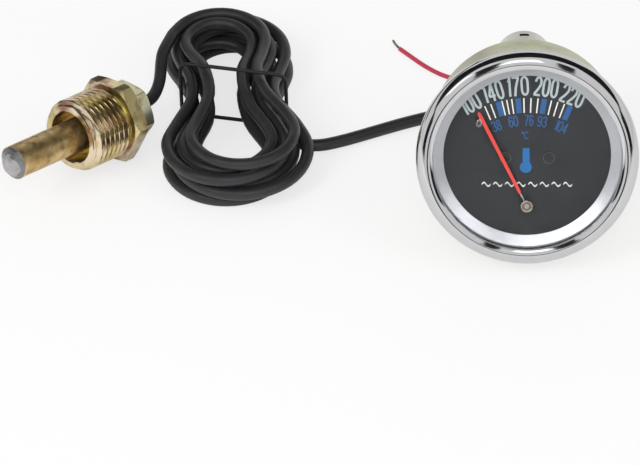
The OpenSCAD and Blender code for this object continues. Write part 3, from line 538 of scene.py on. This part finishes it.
# Each sign is a width and its pen strokes, in a box of 1 by 1
SIGNS = {
    "0": (1, [bow(0.5, 0.7, 0.5, 0.3, 0, 180) + bow(0.5, 0.3, 0.5, 0.3, 180, 360) + [(1, 0.7)]]),
    "1": (0.5, [[(0, 0.76), (0.55, 0.84), (0.9, 1)], [(0.9, 1.05), (0.9, -0.05)]]),
    "2": (1, [bow(0.5, 0.7, 0.5, 0.3, 175, -25) + [(0.62, 0.34), (0.22, 0.14), (0.04, 0.03)],
              [(-0.08, 0), (1.1, 0)]]),
    "3": (1, [bow(0.46, 0.75, 0.46, 0.25, 165, -85) + bow(0.5, 0.255, 0.5, 0.255, 85, -165)]),
    "4": (1.05, [[(0.74, 1.05), (0.74, -0.05)], [(0.72, 1), (0.02, 0.27)], [(-0.06, 0.25), (1.08, 0.25)]]),
    "6": (1, [bow(0.5, 0.74, 0.5, 0.26, 20, 180) + [(0, 0.5)] + bow(0.5, 0.3, 0.5, 0.3, 180, 545, 24)]),
    "7": (1, [[(-0.1, 1), (1.1, 1)], [(0.95, 0.97), (0.5, 0.45), (0.3, -0.05)]]),
    "8": (1, [bow(0.5, 0.75, 0.45, 0.25, -90, 275, 24), bow(0.5, 0.26, 0.5, 0.26, -90, 275, 24)]),
    "C": (1, [bow(0.5, 0.7, 0.5, 0.3, 15, 180) + bow(0.5, 0.3, 0.5, 0.3, 180, 345)]),
    "o": (0.5, [bow(0.5, 0.9, 0.5, 0.12, 0, 365, 16)]),
}
SIGNS["9"] = (1, [[(1 - x, 1 - y) for x, y in stroke] for stroke in SIGNS["6"][1]])


def pen_stroke(line, weight):
    """Quads of a flat stroke of a weight along a line of points."""
    edges = []
    for i, (x, y) in enumerate(line):
        before, after = line[max(0, i - 1)], line[min(len(line) - 1, i + 1)]
        dx, dy = after[0] - before[0], after[1] - before[1]
        long = math.hypot(dx, dy)
        nx, ny = -dy / long * weight / 2, dx / long * weight / 2
        edges.append(((x + nx, y + ny), (x - nx, y - ny)))
    return [(a[0], a[1], b[1], b[0]) for a, b in zip(edges, edges[1:])]


def number(name, text, r, a, high, wide, weight, material, turn=None):
    """A printed number of a height and width, centred at radius r and a degrees left of upright."""
    gap = 0.25 * weight
    unit = (wide - gap * (len(text) - 1)) / sum(SIGNS[sign][0] for sign in text)
    t, place = math.radians(a if turn is None else turn), math.radians(a)
    outlines, left, layer = [], -wide / 2, INK
    for sign in text:
        width = SIGNS[sign][0] * unit
        for stroke in SIGNS[sign][1]:
            line = [(left + weight / 2 + x * (width - weight), (y - 0.5) * (high - weight)) for x, y in stroke]
            for quad in pen_stroke(line, weight):
                outlines.append([from_dial(-r * math.sin(place) + x * math.cos(t) - y * math.sin(t),
                                           PRINT_Y + r * math.cos(place) + x * math.sin(t) + y * math.cos(t),
                                           DIAL_Z + layer) for x, y in quad])
            layer += 0.001
        left += width + gap
    return flat_marks(name, outlines, material)


for text, wide, r, a in (("100", 5.3, 32.4, 28.4), ("140", 5.6, 33.0, 16.4), ("170", 5.9, 33.2, 4.6),
                         ("200", 6.6, 33.2, -8.6), ("220", 6.5, 32.8, -21.6)):
    number("number_" + text, text, r, a, 5.6, wide, 0.62, pale_ink)
for text, wide, a in (("38", 2.5, 20.7), ("60", 2.6, 9.3), ("76", 2.4, -1.0), ("93", 2.6, -9.7),
                      ("104", 3.4, -22.9)):
    number("small_number_" + text, text, 23.5, a, 3.1, wide, 0.32, blue_ink)
number("degree_mark", "oC", 19.3, 1.8, 2.2, 1.9, 0.26, blue_ink, turn=0)


def needle_part(name, stations, z0, z1, material, nodes=()):
    """A part of the pointer: pairs of radius and half width, with its upper edges eased."""
    points, faces = [], []
    for r, w in stations:
        ease = min(0.08, w * 0.4)
        points += [along(r, REST_ANGLE, s * k, z) for s, k, z in (
            (-1, w, z0), (-1, w, z1 - ease), (-1, w - ease, z1), (1, w - ease, z1), (1, w, z1 - ease), (1, w, z0))]
    for i in range(len(stations) - 1):
        for k in range(6):
            m = (k + 1) % 6
            faces.append((6 * i + k, 6 * i + m, 6 * i + 6 + m, 6 * i + 6 + k))
    faces += [tuple(range(6)), tuple(range(len(points) - 1, len(points) - 7, -1))]
    return mesh_piece(name, points, faces, material, "pointer_arm", nodes, smooth=False)


needle_part("pointer_blade", [(3.9, 0.225), (4.4, 0.44), (16, 0.47), (29.1, 0.49), (29.45, 0.3), (29.58, 0.1)],
            1.7, 1.95, pointer_paint, ("pointer",))
needle_part("pointer_wire", [(0.9, 0.2), (3.95, 0.2)], 1.71, 1.94, bright_steel)

# The stop pin's bent end
hook = [from_dial(-12.95 + 0.55 * math.cos(math.radians(t)), 9.75 + 0.8 * math.sin(math.radians(t)), 2.1) / MM
        for t in range(190, -71, -15)]
hook = cord_curve("stop_pin_hook", hook, 0.3, 2)
hook.data.materials.append(bright_steel)
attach(hook, "gauge")


def turned(name, profile, place, material, body, slot, nodes=(), steps=128, centre=(0, 0)):
    """A piece turned about an axis along z: profile holds radius and height, closed on itself."""
    points, faces = [], []
    count = len(profile)
    for i in range(steps):
        a = 2 * math.pi * i / steps
        for r, z in profile:
            points.append(place(centre[0] + r * math.cos(a), centre[1] + r * math.sin(a), z))
    for i in range(steps):
        j = (i + 1) % steps
        for k in range(count):
            m = (k + 1) % count
            if profile[k][0] > 1e-6 or profile[m][0] > 1e-6:
                faces.append((i * count + k, j * count + k, j * count + m, i * count + m))
    piece = mesh_piece(name, points, faces, material, body, nodes)
    piece.data.set_sharp_from_angle(angle=math.radians(32))
    return piece


def arc(cx, cz, r, start, end, steps):
    """Points of an arc in a profile, with angles in degrees from the radius's direction."""
    return [(cx + r * math.cos(math.radians(start + (end - start) * i / steps)),
             cz + r * math.sin(math.radians(start + (end - start) * i / steps))) for i in range(steps + 1)]


def hexagon_rows(flats, z0, z1, spin, hole, around=120):
    """Rows of radius and height round a hexagon whose corners are turned down at both ends."""
    corner = flats / 2 / math.cos(math.radians(30))
    rim = 0.90 * corner
    rows = []
    for level in range(6):
        row = []
        for i in range(around):
            a = 360 * i / around
            off = (a - spin) % 60 - 30
            h = flats / 2 / math.cos(math.radians(off))
            cut = max(0, (h - rim) * 0.55)
            r = (hole, min(h, rim), h, h, min(h, rim), hole)[level]
            z = (z0, z0, z0 + cut, z1 - cut, z1, z1)[level]
            row.append((r, a, z))
        rows.append(row)
    return rows


def rows_piece(name, blocks, place, material, body, nodes=()):
    """A piece of one or more blocks of rows; each row holds radius, angle and height all round."""
    points, faces = [], []
    for rows in blocks:
        start, around = len(points), len(rows[0])
        for row in rows:
            points += [place(r * math.cos(math.radians(a)), r * math.sin(math.radians(a)), z) for r, a, z in row]
        for i in range(len(rows) - 1):
            for k in range(around):
                m = (k + 1) % around
                a, b = start + i * around, start + (i + 1) * around
                faces.append((a + k, a + m, b + m, b + k))
    piece = mesh_piece(name, points, faces, material, body, nodes)
    piece.data.set_sharp_from_angle(angle=math.radians(28))
    return piece


def ring_row(r, z, around=120):
    """One row of a turned surface."""
    return [(r, 360 * i / around, z) for i in range(around)]


LENS_TOP = 4.3
turned("bezel_bead", arc(28, 2, 2, -90, 0, 16) + arc(27, 3, 3, 0, 117.8, 40) + [
    (25.6, LENS_TOP + 0.02), (27, LENS_TOP + 0.02), (27, 1.5), (26.3, 1.5), (26.25, 0)], from_dial, chrome,
    "gauge", "polished_chrome", ("bezel",), 192)
turned("pointer_hub_rim", [(1.28, 2.1), (1.28, 1.97), (1.6, 1.97)] + arc(1.47, 2.34, 0.14, 0, 180, 8),
       from_dial, bright_steel, "pointer_arm", "turned_brass", ("pointer_hub",), 48, (0, PIVOT_Y))
turned("pointer_hub_core", [(0.65, 1.2), (1.33, 1.2), (1.33, 1.98), (1.3, 2.2), (0.8, 2.24), (0.65, 2.15)],
       from_dial, hub_brass, "pointer_arm", "turned_brass", (), 48, (0, PIVOT_Y))
for side, x in (("left", -5.85), ("right", 5.85)):
    turned("screw_rim_" + side, [(1.52, 1.0), (1.63, 1.0), (1.64, 1.25), (1.58, 1.345), (1.5, 1.36), (1.48, 1.32)],
           from_dial, screw_edge, "gauge", "dark_steel", (), 40, (x, PIVOT_Y + 13.5))

# Adapter: a true helical thread, its hexagon and its front bore
PITCH_MM, TURNS_OF_THREAD, CREST, ROOT = 1.814, 8, 10.48, 9.32
THREAD = PITCH_MM * TURNS_OF_THREAD


def thread_rows(around=120, per_pitch=14):
    """Rows of the helical thread, which fades out at both ends."""
    rows = []
    count = TURNS_OF_THREAD * per_pitch
    for i in range(count + 1):
        z = -THREAD + THREAD * i / count
        fade = min(1, max(0, (z + THREAD - 0.4) / 1.4)) * min(1, max(0, (-0.5 - z) / 0.8))
        row = []
        for k in range(around):
            f = (z / PITCH_MM - k / around) % 1
            height = min(1, max(0, (abs(f - 0.5) * 2 - 0.22) / 0.52))
            row.append((ROOT - 0.1 + (CREST - ROOT + 0.1) * (1 - height) * fade, 360 * k / around, z))
        rows.append(row)
    return rows


front = [ring_row(r, z) for r, z in (
    (4.83, -3), (7.45, -3), (7.45, -THREAD + 0.3), (7.75, -THREAD), (9.0, -THREAD))]
rows_piece("adapter_thread", [front + thread_rows()], from_probe, adapter_zinc, "adapter_body")
rows_piece("adapter_hexagon", [hexagon_rows(HEX_FLATS, 0, HEX_THICK, HEX_SPIN, 7.95)], from_probe, adapter_zinc,
           "adapter_body", ("adapter",))
rows_piece("compression_nut_hexagon", [hexagon_rows(16, 5, 10.5, NUT_SPIN, 2.5)
                                       + [ring_row(2.5, 1), ring_row(7.85, 1), ring_row(7.85, 5.2)]],
           from_probe, nut_zinc, "nut_body", ("compression_nut",))


def solder_point(x, y, z):
    """A point of the solder at the bulb's end, whose dome is pulled in by slow waves."""
    dent = 0.10 * (1 + math.sin(1.7 * x + 0.6)) + 0.09 * (1 + math.cos(2.1 * y - 0.4)) if z < -36.5 else 0
    return from_probe(x, y, z + dent)


TIP_R, TIP_RISE, TIP_FOOT = 4.75, 2.55, -36.4
TIP_BALL = (TIP_R ** 2 + TIP_RISE ** 2) / (2 * TIP_RISE)
TIP_HALF = math.degrees(math.asin(TIP_R / TIP_BALL))
tip = turned("bulb_solder", arc(0, TIP_BALL + TIP_FOOT - TIP_RISE, TIP_BALL, -90, -90 + TIP_HALF, 24)
             + [(TIP_R, TIP_FOOT), (TIP_R - 0.15, TIP_FOOT + 0.2), (0, TIP_FOOT + 0.2)],
             solder_point, solder, "gauge", "solder", ("bulb_tip",), 72)
# The dome's outer ring, past a wavy border, takes the darker copy of the solder: painted shade along its edge.
tip.data.materials.append(solder_painted_shade_rim)
foot = from_probe(0, 0, 0)
for polygon in tip.data.polygons:
    out = polygon.center - foot
    away = (out - out.dot(AXIS) * AXIS).length / MM
    around = math.atan2(out.z, out.dot(AXIS.cross(Vector((0, 0, 1)))))
    if away > 3.4 + 0.4 * math.sin(3 * around + 0.7) + 0.3 * math.sin(7 * around) + 0.35 * math.sin(
            17 * around + 4 * away):
        polygon.material_index = 1


def stage_and_light():
    """Floor, background, the cards that metal and glass mirror, and the lamps."""
    size = 6
    mesh = bpy.data.meshes.new("floor")
    z = FLOOR * MM
    mesh.from_pydata([(-size, -size, z), (size, -size, z), (size, size, z), (-size, size, z)], [], [(0, 1, 2, 3)])
    floor = bpy.data.objects.new("floor", mesh)
    scene.collection.objects.link(floor)
    pale = bpy.data.materials.new("pale floor")
    pale.use_nodes = True
    nodes, links = pale.node_tree.nodes, pale.node_tree.links
    skin, out = nodes["Principled BSDF"], nodes["Material Output"]
    skin.inputs["Base Color"].default_value = (0.93, 0.93, 0.93, 1)
    skin.inputs["Roughness"].default_value = 0.9
    lit = nodes.new("ShaderNodeEmission")
    seen_by = nodes.new("ShaderNodeLightPath")
    half = nodes.new("ShaderNodeMath")
    half.operation = "MULTIPLY"
    half.inputs[1].default_value = 0.7
    over = nodes.new("ShaderNodeMixShader")
    links.new(seen_by.outputs["Is Camera Ray"], half.inputs[0])
    links.new(half.outputs[0], over.inputs["Fac"])
    links.new(skin.outputs["BSDF"], over.inputs[1])
    links.new(lit.outputs["Emission"], over.inputs[2])
    links.new(over.outputs["Shader"], out.inputs["Surface"])
    mesh.materials.append(pale)
    black = bpy.data.materials.new("black card")
    black.use_nodes = True
    skin = black.node_tree.nodes["Principled BSDF"]
    skin.inputs["Base Color"].default_value = (0.012, 0.012, 0.013, 1)
    skin.inputs["Roughness"].default_value = 1
    white = bpy.data.materials.new("white card")
    white.use_nodes = True
    skin = white.node_tree.nodes["Principled BSDF"]
    skin.inputs["Base Color"].default_value = (0, 0, 0, 1)
    skin.inputs["Emission Color"].default_value = (1, 1, 1, 1)
    skin.inputs["Emission Strength"].default_value = 2
    for name, corners in (
            ("card_front", [(-0.12, -1.5, 0.01), (0.2, -1.5, 0.01), (0.2, -1.5, 0.15), (-0.12, -1.5, 0.15)]),
            ("card_back", [(-1.2, 0.3, z), (-0.08, 0.3, z), (-0.08, 0.3, 0.06), (-1.2, 0.3, 0.06)]),
            ("card_over", [(-0.8, -0.15, 1.25), (0.8, -0.15, 1.25), (0.9, 1.1, 0.75), (-0.9, 1.1, 0.75)]),
            ("card_left", [(-0.85, -0.45, 0.33), (-0.85, 1.1, 0.33), (-0.8, 1.1, 1.25), (-0.8, -0.15, 1.25)]),
            ("card_right", [(0.85, -0.45, 0.33), (0.85, 1.1, 0.33), (0.8, 1.1, 1.25), (0.8, -0.15, 1.25)]),
            ("card_fore_left",
             [(-1.15, -0.85, 0.01), (-0.7, -1.4, 0.01), (-0.7, -1.4, 0.33), (-0.85, -0.45, 0.4)]),
            ("card_fore_right", [(1.15, -0.85, 0.01), (0.7, -1.4, 0.01), (0.7, -1.4, 0.33), (0.85, -0.45, 0.4)]),
            ("card_window", [(-0.17, -0.9, 0.65), (0.13, -0.9, 0.65), (0.13, -0.6, 0.95), (-0.17, -0.6, 0.95)]),
            ("card_key", [(-0.77, -0.5, 0.54), (-0.61, -0.67, 0.54), (-0.47, -0.54, 0.78), (-0.63, -0.37, 0.78)]),
            ("card_near_left",
             [(x, -0.93, z) for x, z in ((-0.02, 0.12), (-0.2, 0.4), (-0.44, 0.8), (-0.9, 1.45), (-0.42, 1.6),
                                         (-0.25, 0.95), (-0.1, 0.45))]),
            ("card_near_right",
             [(x, -0.93, z) for x, z in ((0.06, 0.12), (0.15, 0.43), (0.29, 0.88), (0.62, 1.8), (0.97, 1.65),
                                         (0.44, 0.8), (0.21, 0.4))])):
        mesh = bpy.data.meshes.new(name)
        mesh.from_pydata(corners, [], [tuple(range(len(corners)))])
        mesh.materials.append(white if name in ("card_window", "card_key") else black)
        card = bpy.data.objects.new(name, mesh)
        card.visible_camera = card.visible_diffuse = card.visible_shadow = False
        scene.collection.objects.link(card)
    world = bpy.data.worlds.new("studio")
    scene.world = world
    world.use_nodes = True
    nodes, links = world.node_tree.nodes, world.node_tree.links
    base = nodes["Background"]
    base.inputs["Color"].default_value = (1, 1, 1, 1)
    base.inputs["Strength"].default_value = 0.55
    seen = nodes.new("ShaderNodeBackground")
    seen.inputs["Color"].default_value = (1, 1, 1, 1)
    path = nodes.new("ShaderNodeLightPath")
    blend = nodes.new("ShaderNodeMixShader")
    mirrored = nodes.new("ShaderNodeMath")
    mirrored.operation = "MULTIPLY"
    mirrored.inputs[1].default_value = 0.6
    either = nodes.new("ShaderNodeMath")
    either.operation = "MAXIMUM"
    links.new(path.outputs["Is Glossy Ray"], mirrored.inputs[0])
    links.new(mirrored.outputs[0], either.inputs[0])
    links.new(path.outputs["Is Camera Ray"], either.inputs[1])
    links.new(either.outputs[0], blend.inputs["Fac"])
    links.new(base.outputs["Background"], blend.inputs[1])
    links.new(seen.outputs["Background"], blend.inputs[2])
    links.new(blend.outputs["Shader"], nodes["World Output"].inputs["Surface"])
    for name, place, aim, wide, tall, power in (
            ("key_panel", (-0.62, -0.52, 0.66), (-0.04, 0.03, 0), 0.4, 0.4, 3.8),
            ("fill_panel", (0.7, -0.5, 0.6), (-0.04, 0.03, 0), 0.5, 0.6, 2.2),
            ("window_panel", (-0.02, -0.75, 0.80), (-0.02, 0.03, 0), 0.3, 0.42, 2.3)):
        data = bpy.data.lights.new(name, "AREA")
        data.shape, data.size, data.size_y, data.energy = "RECTANGLE", wide, tall, power
        lamp = bpy.data.objects.new(name, data)
        lamp.location = place
        lamp.rotation_euler = (Vector(aim) - Vector(place)).to_track_quat("-Z", "Y").to_euler()
        lamp.visible_glossy = False
        scene.collection.objects.link(lamp)


stage_and_light()
scene.view_settings.view_transform = "Standard"
